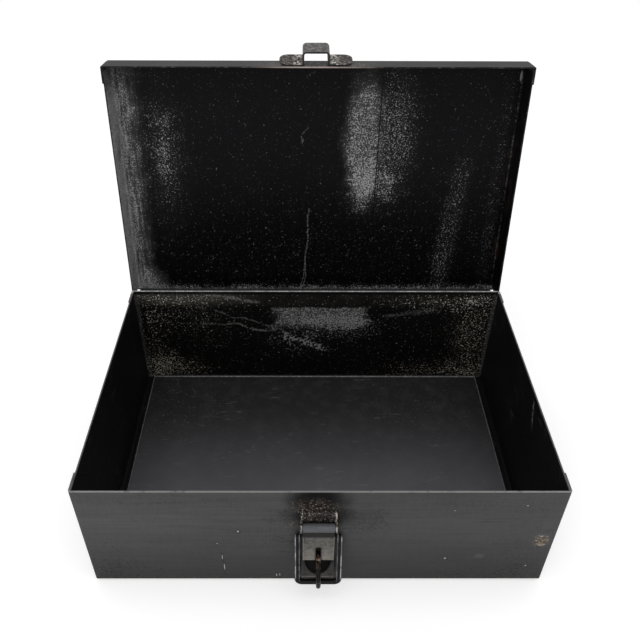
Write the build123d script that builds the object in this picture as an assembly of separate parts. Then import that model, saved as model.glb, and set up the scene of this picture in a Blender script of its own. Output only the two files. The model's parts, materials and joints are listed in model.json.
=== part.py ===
from build123d import *
import math
import os

os.makedirs("parts", exist_ok=True)

# Sheet-steel deed box, standing open.
# Millimetres. X runs to the right, Y to the back and Z up.
# The origin is the middle of the underside, on the surface that the box stands on.

# ---- Box ----
BOX_W = 305.0              # across the folded end tabs
BOX_D = 193.0              # front face to back face
BOX_H = 99.5               # underside to rim
SHEET = 0.9                # sheet steel of the base and the lid
BOTTOM_FOLD_R = 1.5        # inside radius, front and back walls to the bottom
CORNER_FOLD_R = 0.5        # inside radius, walls to their end tabs
TAB_L = 14.0               # end tabs lapped over the side panels
FOOT_FOLD_R = 2.9          # inside radius, end tabs to the bottom
SIDE_FOLD_R = 2.5          # inside radius at the foot of a side panel
SIDE_FLANGE_W = 6.4        # side panel's foot flange, inwards from its wall
FIT_GAP = 0.05             # radial clearance of rivets and fixed pins in their holes
HEAD_ROUND = 0.7           # share of a rivet head's height that is rounded

# ---- Lid ----
LID_RISE = 0.4             # closed lid's ceiling above the rim
LID_SKIRT_H = 19.1         # flanges, down from the ceiling
LID_SIDE_GAP = 0.4
LID_FRONT_GAP = 0.4
LID_BACK_GAP = 0.6
LID_FOLD_R = 0.6           # inside radius of the lid's folds
LID_TAB_L = 12.5           # front flange ends lapped over the side flanges
LID_TAB_DROP = 2.4         # lapped ends start this far below the ceiling
LID_RELIEF = 1.5           # slit left open in each back corner of the lid
LID_TAB_EDGE_R = 0.8       # rounded end of the lapped flange
LID_OPEN_DEG = 97.54       # from closed to its stop

# ---- Hinges ----
HINGE_INSET = 57.5         # end of the box to the middle of a hinge
HINGE_X = BOX_W / 2 - HINGE_INSET
HINGE_L = 40.0
LEAF_T = 1.2
LEAF_H = 15.0              # pin axis to the leaf's free edge
HINGE_OUT = 4.6            # pin axis behind the back wall
HINGE_DROP = 17.2          # rim down to the pin axis
JOG_FOOT = 5.2             # base leaf steps out to its knuckles above here, down from the axis
JOG_TOP = 2.0
JOG_LAP = 0.5              # the step's slope starts this much higher on its inner side
KNUCKLE_L = 15.6           # middle knuckle, on the lid leaf
KNUCKLE_GAP = 0.4
RUNNING_GAP = 0.05         # radial clearance of turning parts
LEAF_NOTCH = 0.5           # leaf edge to the other leaf's knuckle
STOP_L = 6.7               # stop nib, pin axis to its end
STOP_GAP = 0.08
PIN_HEAD_T = 0.6
LEAF_RIVET_R = 1.2
LEAF_RIVET_HEAD_R = 2.3
LEAF_RIVET_HEAD_T = 1.0
LEAF_RIVET_PITCH = 13.0
LEAF_RIVET_Z = 9.5         # pin axis to the rivet row

# ---- Catch on the lid's front flange ----
STRAP_T = 1.3
STRAP_EDGE = 1.2           # flange's free edge to the strap's near edge
STRAP_TILT_DEG = 12.0      # years of pulling have lifted the upper edge
CATCH_X = -1.7             # hand-fitted a little left of the middle
EAR_W = 52.5               # tip to tip
EAR_DEPTH = 17.0
EAR_CORNER_R = 6.5
BRIDGE_W = 19.3
BRIDGE_DEPTH = 15.5
BRIDGE_INSET = 0.4
BRIDGE_H = 10.6
BRIDGE_CORNER_R = 3.0
LIP_FOOT = 2.8             # hook lip's free edge above the strap's seat
LIP_SIDE_GAP = 1.4
CATCH_RIVET_X = 15.0
CATCH_RIVET_R = 1.3
CATCH_RIVET_HEAD_R = 2.3
CATCH_RIVET_HEAD_T = 0.6

# ---- Latch on the base's front ----
LATCH_X = -0.6             # middle of the latch
PLATE_T = 1.2
PLATE_W = 21.8
PLATE_Z0 = 5.8
PLATE_Z1 = 80.5
PLATE_CORNER_R = 1.5
EAR_GAP = 21.0             # between the two ears
EAR_T = 1.0
EAR_FOOT_Z = 62.0
EAR_R = 3.4                # round the pin
LATCH_PIN_Z = 69.2
LATCH_PIN_OUT = 4.6        # pin axis in front of the wall
LATCH_PIN_R = 1.5
LATCH_PIN_HEAD_T = 0.3
LATCH_PIN_HEAD_R = 1.9
FINGER_TOP_Z = 31.0        # finger opening in the plate
FINGER_MID_Z = 27.6
FINGER_W = 17.8
FINGER_H = 18.4
LATCH_RIVET_R = 1.1
LATCH_RIVET_HEAD_R = 1.6
LATCH_RIVET_HEAD_T = 0.5
LATCH_RIVET_TOP = (6.0, 76.5)
LATCH_RIVET_FOOT = (8.6, 8.4)

LEVER_W = 20.2
LEVER_T = 1.1
KNUCKLE_R = 2.75
LEVER_PLATE_OUT = 4.8      # back of the lever's plate in front of the wall
LEVER_NECK_OUT = 2.75
LEVER_STEP_LAP = 0.5       # the step's slope sits this much lower on its back
LEVER_NECK_Z = 63.0
LEVER_TOP_Z = 61.0
LEVER_Z0 = 35.0
LEVER_BEND_R = 0.8
SLOT_TOP_Z = 49.5
SLOT_GAP = 0.3             # each side of the padlock eye
LUG_T = 1.1
LUG_R = 1.7
LUG_FOOT_OUT = 5.3

RING_PIN_R = 1.1
RING_PIN_Z = 58.2
RING_PIN_OUT = 3.2
RING_PIN_END = 0.8         # pin's end past the ring's inside
RING_REACH = 39.6          # pin axis to the inside of the far bar
RING_REST_DEG = 10.7       # out from plumb, sitting on its heels
RING_TOP = 2.4             # shoulders above the pin axis
RING_BAND = 3.4            # width of the side bars
RING_FAR_BAND = 3.3
RING_T = 2.2
RING_SIDE_GAP = 0.3        # ring to the ends of the latch pin
RING_CORNER_R = 5.0
RING_INNER_R = 2.2
RING_SHOULDER_X = 11.3     # flat shoulders end clear of the plate
RING_EYE_X = 10.4          # inner ends of the eyes
RING_EYE_R = 1.7
RING_EYE_END = 1.0         # eye boss past the ring's inside
RING_HEEL_GAP = 0.06
RING_HEEL_TOP = 1.3        # heel, down from the pin axis
RING_HEEL_FOOT = 4.4
RING_EDGE_R = 0.5

EYE_WIRE_R = 1.5
EYE_TOP_Z = 36.8
EYE_FOOT_Z = 23.0
EYE_OUT = 19.4             # wire centre line in front of the wall
EYE_BEND_R = 6.0
EYE_TAIL_R = 2.3
EYE_TAIL_T = 0.6

BIG = 2.0 * BOX_W          # longer than anything here, for cutting
CUT = 2.0                  # cutters reach this far past a face

# ---- Places worked out from the sizes ----
FRONT_Y = -BOX_D / 2
BACK_Y = BOX_D / 2
SIDE_X = BOX_W / 2 - SHEET                     # outside of the side panels
AXIS_Y = BACK_Y + HINGE_OUT
AXIS_Z = BOX_H - HINGE_DROP
LID_BACK_Y = BACK_Y + LID_BACK_GAP             # inside of the lid's back flange
LID_LEAF_Y = LID_BACK_Y + SHEET                # closed lid leaf lies on the flange's outside
LEAF_OUT_R = AXIS_Y - LID_LEAF_Y               # outside of a hinge knuckle
PIN_R = LEAF_OUT_R - LEAF_T - RUNNING_GAP
LID_FRONT_Y = FRONT_Y - LID_FRONT_GAP          # inside of the lid's front flange
LID_X = BOX_W / 2 + LID_SIDE_GAP               # inside of the lid's side flanges
LID_Z = BOX_H + LID_RISE                       # ceiling
SKIRT_Z = LID_Z - LID_SKIRT_H                  # free edge of the flanges
HINGE_LINE = Axis((0, AXIS_Y, AXIS_Z), (1, 0, 0))
PIN_Y = FRONT_Y - LATCH_PIN_OUT
RING_PIN_Y = FRONT_Y - RING_PIN_OUT
EAR_X = EAR_GAP / 2
PIN_END_X = EAR_X + EAR_T + LATCH_PIN_HEAD_T
RING_X = PIN_END_X + RING_SIDE_GAP             # inside of the ring's side bars


def block(x0, x1, y0, y1, z0, z1):
    """A box given by its six faces."""
    size = Box(x1 - x0, y1 - y0, z1 - z0)
    return Pos((x0 + x1) / 2, (y0 + y1) / 2, (z0 + z1) / 2) * size


def rod_x(x0, x1, y, z, radius):
    """A round bar along X."""
    bar = Cylinder(radius, x1 - x0)
    return Pos((x0 + x1) / 2, y, z) * Rot(0, 90, 0) * bar


def rod_y(x, y0, y1, z, radius):
    """A round bar along Y."""
    bar = Cylinder(radius, y1 - y0)
    return Pos(x, (y0 + y1) / 2, z) * Rot(90, 0, 0) * bar


def side_profile(points, x0, x1):
    """A closed outline of (out from the front face, height) points, drawn along X."""
    wire = Polyline(*[(0, FRONT_Y - out, z) for out, z in points], close=True)
    return extrude(make_face(wire), amount=x1 - x0, dir=(1, 0, 0)).moved(Location((x0, 0, 0)))


def long_edges(shape, axis):
    """Edges that run along one axis."""
    return shape.edges().filter_by(axis)


def name_part(shape, name):
    """Write one named piece."""
    shape.label = name
    export_step(shape, f"parts/{name}.step")
    return shape


def opened(shape):
    """Turn a piece of the closed lid back to the lid's stop."""
    return shape.rotate(HINGE_LINE, -LID_OPEN_DEG)


def on_latch(shape):
    """Move a latch piece to the latch's place across the front."""
    return shape.moved(Location((LATCH_X, 0, 0)))


# ---- Base: front, bottom and back are one folded sheet ----
def folded_box(x, y0, y1, z0, z1, end_r, foot_r, side_r):
    """Box with rounded upright corners and two radii along its foot."""
    body = block(-x, x, y0, y1, z0, z1)
    body = fillet(long_edges(body, Axis.Z), end_r)
    across = block(-BIG, BIG, y0, y1, z0, z1)
    across = fillet(long_edges(across, Axis.X).group_by(Axis.Z)[0], foot_r)
    along = block(-x, x, -BIG, BIG, z0, z1)
    along = fillet(long_edges(along, Axis.Y).group_by(Axis.Z)[0], side_r)
    return body & across & along


def base_shell():
    outer = folded_box(
        BOX_W / 2, FRONT_Y, BACK_Y, 0, BOX_H,
        CORNER_FOLD_R + SHEET, BOTTOM_FOLD_R + SHEET, FOOT_FOLD_R + SHEET)
    room = folded_box(
        SIDE_X, FRONT_Y + SHEET, BACK_Y - SHEET, SHEET, BOX_H + CUT,
        CORNER_FOLD_R, BOTTOM_FOLD_R, FOOT_FOLD_R)
    shell = outer - room

    # the side panels show between the end tabs
    bottom_x = SIDE_X - SHEET - SIDE_FOLD_R
    mid_y = BACK_Y - TAB_L
    for end in (-1, 1):
        x0, x1 = sorted((end * bottom_x, end * BIG))
        shell -= block(x0, x1, -mid_y, mid_y, -CUT, BIG)

    for x, z in latch_rivet_places():
        shell -= rod_y(LATCH_X + x, FRONT_Y - CUT, FRONT_Y + SHEET + CUT, z, LATCH_RIVET_R + FIT_GAP)
    for z in (EYE_FOOT_Z, EYE_TOP_Z):
        shell -= rod_y(LATCH_X, FRONT_Y - CUT, FRONT_Y + SHEET + CUT, z, EYE_WIRE_R + FIT_GAP)
    for x in leaf_rivet_places():
        z = AXIS_Z - LEAF_RIVET_Z
        shell -= rod_y(x, BACK_Y - SHEET - CUT, BACK_Y + CUT, z, LEAF_RIVET_R + FIT_GAP)
    return shell


def side_panel(side):
    """Wall with a foot flange that lies on the bottom; side is -1 or 1."""
    half = BACK_Y - SHEET - CORNER_FOLD_R
    wall = block(SIDE_X - SIDE_FLANGE_W, SIDE_X, -half, half, SHEET, BOX_H)
    wall = fillet(long_edges(wall, Axis.Y).group_by(Axis.Z)[0].sort_by(Axis.X)[-1], SIDE_FOLD_R + SHEET)
    room = block(SIDE_X - SIDE_FLANGE_W - CUT, SIDE_X - SHEET, -half - CUT, half + CUT, 2 * SHEET, BOX_H + CUT)
    room = fillet(long_edges(room, Axis.Y).group_by(Axis.Z)[0].sort_by(Axis.X)[-1], SIDE_FOLD_R)
    panel = wall - room
    clear = BACK_Y - SHEET - BOTTOM_FOLD_R
    for end in (-1, 1):
        y0, y1 = sorted((end * clear, end * BIG))
        panel -= block(0, SIDE_X - SHEET, y0, y1, 0, 2 * SHEET + BOTTOM_FOLD_R)
    if side < 0:
        panel = mirror(panel, about=Plane.YZ)
    return panel


# ---- Lid, drawn closed ----
def lid_tray():
    out_x = LID_X + SHEET
    out_y0 = LID_FRONT_Y - SHEET
    out_y1 = LID_BACK_Y + SHEET
    tray = block(-out_x, out_x, out_y0, out_y1, SKIRT_Z, LID_Z + SHEET)
    top = tray.faces().sort_by(Axis.Z)[-1]
    tray = fillet(top.edges(), LID_FOLD_R + SHEET)
    room = block(-LID_X, LID_X, LID_FRONT_Y, LID_BACK_Y, SKIRT_Z - CUT, LID_Z)
    ceiling = room.faces().sort_by(Axis.Z)[-1]
    tray -= fillet(ceiling.edges(), LID_FOLD_R)

    # open corners at the back
    for end in (-1, 1):
        x0, x1 = sorted((end * (LID_X - LID_RELIEF), end * BIG))
        tray -= block(x0, x1, LID_BACK_Y - LID_RELIEF, BIG, SKIRT_Z - CUT, LID_Z - LID_FOLD_R)

    # front flange ends, lapped over the side flanges
    for end in (-1, 1):
        x0, x1 = sorted((end * out_x, end * (out_x + SHEET)))
        z1 = LID_Z - LID_TAB_DROP
        tab = block(x0, x1, out_y0, out_y0 + LID_TAB_L, SKIRT_Z, z1)
        outside = long_edges(tab, Axis.Z).sort_by(Axis.Y)[0:2].sort_by(Axis.X)
        tab = fillet(outside[0 if end < 0 else -1], LID_TAB_EDGE_R)
        tray += tab

    # room for the hinge knuckles
    half = HINGE_L / 2 + LEAF_NOTCH
    for side in (-1, 1):
        x = side * HINGE_X
        notch_z = AXIS_Z + LEAF_OUT_R + LEAF_NOTCH
        tray -= block(x - half, x + half, LID_BACK_Y - CUT, BIG, SKIRT_Z - CUT, notch_z)
    for x in leaf_rivet_places():
        z = AXIS_Z + LEAF_RIVET_Z
        tray -= rod_y(x, LID_BACK_Y - CUT, LID_BACK_Y + SHEET + CUT, z, LEAF_RIVET_R + FIT_GAP)
    for x in (-CATCH_RIVET_X, CATCH_RIVET_X):
        tray -= on_strap(rod_y(x, -EAR_DEPTH, BRIDGE_H, EAR_DEPTH / 2, CATCH_RIVET_R + FIT_GAP))
    return tray


# ---- Hinges ----
def leaf_rivet_places():
    """X of the rivets in both hinges."""
    return [side * HINGE_X + step * LEAF_RIVET_PITCH for side in (-1, 1) for step in (-1, 0, 1)]


def hinge_base_leaf(side):
    x = side * HINGE_X
    half = HINGE_L / 2
    rise = LID_LEAF_Y - BACK_Y
    outline = [
        (0, -LEAF_H), (0, -JOG_FOOT + JOG_LAP), (rise, -JOG_TOP + JOG_LAP), (rise, 0),
        (rise + LEAF_T, 0), (rise + LEAF_T, -JOG_TOP), (LEAF_T, -JOG_FOOT), (LEAF_T, -LEAF_H),
    ]
    wire = Polyline(*[(x - half, BACK_Y + out, AXIS_Z + z) for out, z in outline], close=True)
    leaf = extrude(make_face(wire), amount=HINGE_L, dir=(1, 0, 0))
    leaf += rod_x(x - half, x + half, AXIS_Y, AXIS_Z, LEAF_OUT_R)
    gap = KNUCKLE_L / 2 + KNUCKLE_GAP
    leaf -= block(x - gap, x + gap, BACK_Y - CUT, BIG, AXIS_Z - JOG_FOOT, BIG)
    leaf -= rod_x(x - half - CUT, x + half + CUT, AXIS_Y, AXIS_Z, PIN_R + FIT_GAP)
    for step in (-1, 0, 1):
        rivet_x = x + step * LEAF_RIVET_PITCH
        z = AXIS_Z - LEAF_RIVET_Z
        leaf -= rod_y(rivet_x, BACK_Y - CUT, BACK_Y + LEAF_T + CUT, z, LEAF_RIVET_R + FIT_GAP)
    return leaf


def hinge_lid_leaf(side):
    """Drawn closed; its middle knuckle ends in a nib that stops the open lid."""
    x = side * HINGE_X
    half = HINGE_L / 2
    grip = KNUCKLE_L / 2
    leaf_back = LID_LEAF_Y + LEAF_T
    leaf = block(x - half, x + half, LID_LEAF_Y, leaf_back, AXIS_Z, AXIS_Z + LEAF_H)
    clear_z = AXIS_Z + LEAF_OUT_R + LEAF_NOTCH
    for end in (-1, 1):
        x0, x1 = sorted((x + end * grip, x + end * (half + CUT)))
        leaf -= block(x0, x1, BACK_Y - CUT, BIG, AXIS_Z - CUT, clear_z)
    leaf += rod_x(x - grip, x + grip, AXIS_Y, AXIS_Z, LEAF_OUT_R)
    stop_y = BACK_Y + LEAF_T + STOP_GAP
    nib = block(x - grip, x + grip, stop_y, stop_y + LEAF_T, AXIS_Z - STOP_L, AXIS_Z)
    leaf += nib.rotate(HINGE_LINE, LID_OPEN_DEG)
    leaf -= rod_x(x - half, x + half, AXIS_Y, AXIS_Z, PIN_R + RUNNING_GAP)
    for step in (-1, 0, 1):
        rivet_x = x + step * LEAF_RIVET_PITCH
        z = AXIS_Z + LEAF_RIVET_Z
        leaf -= rod_y(rivet_x, LID_LEAF_Y - CUT, leaf_back + CUT, z, LEAF_RIVET_R + FIT_GAP)
    return leaf


def hinge_pin(side):
    x = side * HINGE_X
    half = HINGE_L / 2
    pin = rod_x(x - half, x + half, AXIS_Y, AXIS_Z, PIN_R)
    for end in (-1, 1):
        x0, x1 = sorted((x + end * half, x + end * (half + PIN_HEAD_T)))
        head = rod_x(x0, x1, AXIS_Y, AXIS_Z, LEAF_OUT_R - LEAF_T / 2)
        pin += head
    return pin


def domed_rivet(x, z, face_y, tail_y, shank_r, head_r, head_t, out):
    """Shank from tail_y to face_y with a low domed head on face_y; out is the head's side, -1 or 1."""
    y0, y1 = sorted((tail_y, face_y))
    shank = rod_y(x, y0, y1, z, shank_r)
    h0, h1 = sorted((face_y, face_y + out * head_t))
    head = rod_y(x, h0, h1, z, head_r)
    rim = head.edges().filter_by(GeomType.CIRCLE).sort_by(Axis.Y)[-1 if out > 0 else 0]
    return shank + fillet(rim, head_t * HEAD_ROUND)


def hinge_base_rivets():
    z = AXIS_Z - LEAF_RIVET_Z
    return [domed_rivet(x, z, BACK_Y + LEAF_T, BACK_Y - SHEET, LEAF_RIVET_R,
                        LEAF_RIVET_HEAD_R, LEAF_RIVET_HEAD_T, 1) for x in leaf_rivet_places()]


def hinge_lid_rivets():
    z = AXIS_Z + LEAF_RIVET_Z
    return [domed_rivet(x, z, LID_LEAF_Y + LEAF_T, LID_BACK_Y, LEAF_RIVET_R,
                        LEAF_RIVET_HEAD_R, LEAF_RIVET_HEAD_T, 1) for x in leaf_rivet_places()]


# ---- Catch, drawn in its own frame: X across, -Y out of the seat, Z from near to far edge ----
def on_strap(shape):
    """Place a shape of the strap's own frame on the closed lid's front flange."""
    seat = Pos(CATCH_X, LID_FRONT_Y - SHEET, SKIRT_Z + STRAP_EDGE)
    return seat * Rot(STRAP_TILT_DEG, 0, 0) * mirror(shape, about=Plane.XZ)


def catch_strap():
    ears = block(-EAR_W / 2, EAR_W / 2, 0, STRAP_T, 0, EAR_DEPTH)
    ears = fillet(long_edges(ears, Axis.Y), EAR_CORNER_R)
    far = BRIDGE_INSET + BRIDGE_DEPTH
    bridge = block(-BRIDGE_W / 2, BRIDGE_W / 2, 0, BRIDGE_H, BRIDGE_INSET, far)
    bridge = fillet(long_edges(bridge, Axis.Z).group_by(Axis.Y)[-1], BRIDGE_CORNER_R)
    in_x = BRIDGE_W / 2 - STRAP_T
    in_y = BRIDGE_H - STRAP_T
    tunnel = block(-in_x, in_x, -CUT, in_y, -CUT, EAR_DEPTH + CUT)
    tunnel = fillet(long_edges(tunnel, Axis.Z).group_by(Axis.Y)[-1], BRIDGE_CORNER_R - STRAP_T)
    strap = ears + bridge - tunnel
    lip_x = in_x - LIP_SIDE_GAP
    lip = block(-lip_x, lip_x, LIP_FOOT, in_y + STRAP_T / 2, far - STRAP_T, far)
    strap += lip
    for x in (-CATCH_RIVET_X, CATCH_RIVET_X):
        strap -= rod_y(x, -CUT, STRAP_T + CUT, EAR_DEPTH / 2, CATCH_RIVET_R + FIT_GAP)
    return on_strap(strap)


def catch_rivets():
    drop = math.tan(math.radians(STRAP_TILT_DEG)) * EAR_DEPTH / 2
    rivets = []
    for x in (-CATCH_RIVET_X, CATCH_RIVET_X):
        rivet = domed_rivet(x, EAR_DEPTH / 2, STRAP_T, -drop - SHEET, CATCH_RIVET_R,
                            CATCH_RIVET_HEAD_R, CATCH_RIVET_HEAD_T, 1)
        rivets.append(on_strap(rivet))
    return rivets


# ---- Latch ----
def latch_rivet_places():
    return [(end * x, z) for x, z in (LATCH_RIVET_TOP, LATCH_RIVET_FOOT) for end in (-1, 1)]


def latch_plate():
    face_y = FRONT_Y - PLATE_T
    plate = block(-PLATE_W / 2, PLATE_W / 2, face_y, FRONT_Y, PLATE_Z0, PLATE_Z1)
    plate = fillet(long_edges(plate, Axis.Y).group_by(Axis.Z)[0], PLATE_CORNER_R)
    # finger opening, half an ellipse below a straight top
    oval = Plane(origin=(0, FRONT_Y, FINGER_MID_Z), x_dir=(1, 0, 0), z_dir=(0, -1, 0)) \
        * Ellipse(FINGER_W / 2, FINGER_H)
    hole = extrude(oval, amount=PLATE_T + CUT, both=True)
    hole -= block(-BIG, BIG, -BIG, BIG, FINGER_TOP_Z, BIG)
    plate -= hole
    for end in (-1, 1):
        x0, x1 = sorted((end * EAR_X, end * (EAR_X + EAR_T)))
        round_end = rod_x(x0, x1, PIN_Y, LATCH_PIN_Z, EAR_R)
        web = ear_web(x0, x1)
        seat = block(min(x0, end * (EAR_X - CUT)), max(x1, end * (EAR_X - CUT)),
                     face_y, FRONT_Y, EAR_FOOT_Z, PLATE_Z1)
        plate += round_end + web + seat
    plate -= rod_x(-BIG, BIG, PIN_Y, LATCH_PIN_Z, LATCH_PIN_R + FIT_GAP)
    for x, z in latch_rivet_places():
        plate -= rod_y(x, face_y - CUT, FRONT_Y + CUT, z, LATCH_RIVET_R + FIT_GAP)
    plate -= rod_y(0, face_y - CUT, FRONT_Y + CUT, EYE_TOP_Z, EYE_WIRE_R + FIT_GAP)
    return plate


def tangent_point(px, pz, cx, cz, radius, turn):
    """Where a line from (px, pz) touches a circle; turn picks the side, -1 or 1."""
    dx = px - cx
    dz = pz - cz
    gap = math.hypot(dx, dz)
    angle = math.atan2(dz, dx) + turn * math.acos(radius / gap)
    return cx + radius * math.cos(angle), cz + radius * math.sin(angle)


def ear_web(x0, x1):
    """Ear between the plate and its round end, with straight edges tangent to it."""
    centre = (LATCH_PIN_OUT, LATCH_PIN_Z)
    top = tangent_point(0, PLATE_Z1, *centre, EAR_R, -1)
    foot = tangent_point(0, EAR_FOOT_Z, *centre, EAR_R, 1)
    return side_profile([(0, PLATE_Z1), top, centre, foot, (0, EAR_FOOT_Z)], x0, x1)


def latch_pin():
    reach = EAR_X + EAR_T
    pin = rod_x(-reach, reach, PIN_Y, LATCH_PIN_Z, LATCH_PIN_R)
    for end in (-1, 1):
        x0, x1 = sorted((end * reach, end * PIN_END_X))
        pin += rod_x(x0, x1, PIN_Y, LATCH_PIN_Z, LATCH_PIN_HEAD_R)
    return pin


def latch_rivets():
    return [domed_rivet(x, z, FRONT_Y - PLATE_T, FRONT_Y + SHEET, LATCH_RIVET_R,
                        LATCH_RIVET_HEAD_R, LATCH_RIVET_HEAD_T, -1) for x, z in latch_rivet_places()]


def latch_lever():
    half = LEVER_W / 2
    back = LEVER_PLATE_OUT
    front = back + LEVER_T
    neck = LEVER_NECK_OUT
    outline = [
        (neck, LATCH_PIN_Z), (neck, LEVER_NECK_Z), (back, LEVER_TOP_Z - LEVER_STEP_LAP), (back, LEVER_Z0),
        (front, LEVER_Z0), (front, LEVER_TOP_Z), (neck + LEVER_T, LEVER_NECK_Z + LEVER_STEP_LAP),
        (neck + LEVER_T, LATCH_PIN_Z),
    ]
    lever = side_profile(outline, -half, half)
    bends = long_edges(lever, Axis.X).filter_by_position(Axis.Z, LEVER_TOP_Z - LEVER_T, LEVER_NECK_Z + LEVER_T)
    lever = fillet(bends, LEVER_BEND_R)
    lever += rod_x(-half, half, PIN_Y, LATCH_PIN_Z, KNUCKLE_R)
    # lugs that carry the ring's bar
    lug_top = RING_PIN_Z + LUG_R
    lug_foot = RING_PIN_Z - LUG_R
    for end in (-1, 1):
        x0, x1 = sorted((end * (half - LUG_T), end * half))
        lever += rod_x(x0, x1, RING_PIN_Y, RING_PIN_Z, LUG_R)
        lever += side_profile([(RING_PIN_OUT, lug_foot), (RING_PIN_OUT, lug_top),
                               (LUG_FOOT_OUT, lug_top), (LUG_FOOT_OUT, lug_foot)], x0, x1)
    lever -= rod_x(-BIG, BIG, RING_PIN_Y, RING_PIN_Z, RING_PIN_R + RUNNING_GAP)
    lever -= rod_x(-BIG, BIG, PIN_Y, LATCH_PIN_Z, LATCH_PIN_R + RUNNING_GAP)
    # slot for the padlock eye, open at the lever's free edge
    slot_x = EYE_WIRE_R + SLOT_GAP
    slot_y0 = FRONT_Y - front - CUT
    slot_y1 = FRONT_Y - back + LEVER_T
    lever -= block(-slot_x, slot_x, slot_y0, slot_y1, LEVER_Z0 - CUT, SLOT_TOP_Z - slot_x)
    lever -= rod_y(0, slot_y0, slot_y1, SLOT_TOP_Z - slot_x, slot_x)
    return lever


def ring_outline(half, top, foot, corner):
    """Rounded rectangle in the ring's front face."""
    face = Plane(origin=(0, RING_PIN_Y - RING_T / 2, (top + foot) / 2), x_dir=(1, 0, 0), z_dir=(0, 1, 0))
    return face * RectangleRounded(2 * half, top - foot, corner)


def latch_ring():
    """Drawn plumb, then swung out until its heels meet the plate."""
    foot = RING_PIN_Z - RING_REACH
    outer = ring_outline(RING_X + RING_BAND, RING_PIN_Z + RING_TOP, foot - RING_FAR_BAND, RING_CORNER_R)
    ring = extrude(outer, amount=RING_T)
    ring = fillet(ring.faces().sort_by(Axis.Y)[0].edges(), RING_EDGE_R)
    opening = ring_outline(RING_X, RING_PIN_Z - RING_TOP, foot, RING_INNER_R)
    ring -= extrude(opening, amount=RING_T + CUT, both=True)
    ring -= block(-RING_SHOULDER_X, RING_SHOULDER_X, -BIG, BIG, RING_PIN_Z - RING_REACH / 2, BIG)
    swing = Axis((0, RING_PIN_Y, RING_PIN_Z), (-1, 0, 0))
    ring = ring.rotate(swing, RING_REST_DEG)
    heel_y = FRONT_Y - PLATE_T - RING_HEEL_GAP
    for end in (-1, 1):
        x0, x1 = sorted((end * RING_EYE_X, end * (RING_X + RING_EYE_END)))
        ring += rod_x(x0, x1, RING_PIN_Y, RING_PIN_Z, RING_EYE_R)
        ring += block(x0, x1, RING_PIN_Y, heel_y, RING_PIN_Z - RING_HEEL_FOOT, RING_PIN_Z - RING_HEEL_TOP)
    reach = ring_pin_reach() + KNUCKLE_GAP
    ring -= rod_x(-reach, reach, RING_PIN_Y, RING_PIN_Z, RING_PIN_R + RUNNING_GAP)
    return ring


def ring_pin_reach():
    """Half the ring pin's length; its ends stay inside the eyes."""
    return RING_X + RING_EYE_END - RING_PIN_END - KNUCKLE_GAP


def ring_pin():
    reach = ring_pin_reach()
    return rod_x(-reach, reach, RING_PIN_Y, RING_PIN_Z, RING_PIN_R)


def padlock_eye():
    """Round wire bent to a D, its ends riveted over inside the front wall."""
    tail_y = FRONT_Y + SHEET
    out_y = FRONT_Y - EYE_OUT
    path = FilletPolyline((0, tail_y, EYE_TOP_Z), (0, out_y, EYE_TOP_Z), (0, out_y, EYE_FOOT_Z),
                          (0, tail_y, EYE_FOOT_Z), radius=EYE_BEND_R)
    section = Plane(origin=path @ 0, z_dir=path % 0) * Circle(EYE_WIRE_R)
    eye = sweep(section, path=path)
    for z in (EYE_TOP_Z, EYE_FOOT_Z):
        tail = rod_y(0, tail_y, tail_y + EYE_TAIL_T, z, EYE_TAIL_R)
        eye += tail
    return eye


# ---- Write the pieces ----
name_part(base_shell(), "base_shell")
name_part(side_panel(-1), "side_panel_left")
name_part(side_panel(1), "side_panel_right")
name_part(opened(lid_tray()), "lid_tray")
for side, word in ((-1, "left"), (1, "right")):
    name_part(hinge_base_leaf(side), f"hinge_base_leaf_{word}")
    name_part(opened(hinge_lid_leaf(side)), f"hinge_lid_leaf_{word}")
    name_part(hinge_pin(side), f"hinge_pin_{word}")
name_part(Compound(children=hinge_base_rivets()), "hinge_base_rivets")
name_part(Compound(children=[opened(rivet) for rivet in hinge_lid_rivets()]), "hinge_lid_rivets")
name_part(opened(catch_strap()), "catch_strap")
name_part(Compound(children=[opened(rivet) for rivet in catch_rivets()]), "catch_rivets")
name_part(on_latch(latch_plate()), "latch_plate")
name_part(on_latch(latch_pin()), "latch_pin")
name_part(Compound(children=[on_latch(rivet) for rivet in latch_rivets()]), "latch_rivets")
name_part(on_latch(latch_lever()), "latch_lever")
name_part(on_latch(latch_ring()), "latch_ring")
name_part(on_latch(ring_pin()), "ring_pin")
name_part(on_latch(padlock_eye()), "padlock_eye")
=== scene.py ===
import json
import math

import bpy
from mathutils import Matrix, Vector


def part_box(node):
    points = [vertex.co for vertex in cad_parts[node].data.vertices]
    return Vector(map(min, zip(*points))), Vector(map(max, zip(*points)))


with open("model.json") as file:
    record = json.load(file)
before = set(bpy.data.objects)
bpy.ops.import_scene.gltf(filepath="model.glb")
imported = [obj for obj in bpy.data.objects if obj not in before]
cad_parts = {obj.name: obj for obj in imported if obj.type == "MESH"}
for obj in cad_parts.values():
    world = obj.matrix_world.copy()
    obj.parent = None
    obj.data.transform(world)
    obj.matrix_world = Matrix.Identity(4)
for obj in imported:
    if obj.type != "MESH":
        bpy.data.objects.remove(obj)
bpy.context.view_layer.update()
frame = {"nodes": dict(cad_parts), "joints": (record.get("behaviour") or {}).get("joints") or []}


# ---- Places, from the frame ----
# Lengths inside the finishes are millimetres; everything else is metres.
MM = 0.001


def box_mm(node):
    """Lowest and highest corners of a node at rest."""
    return [[edge / MM for edge in corner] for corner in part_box(node)]


def middle_x(node):
    low, high = box_mm(node)
    return (low[0] + high[0]) / 2


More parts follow.
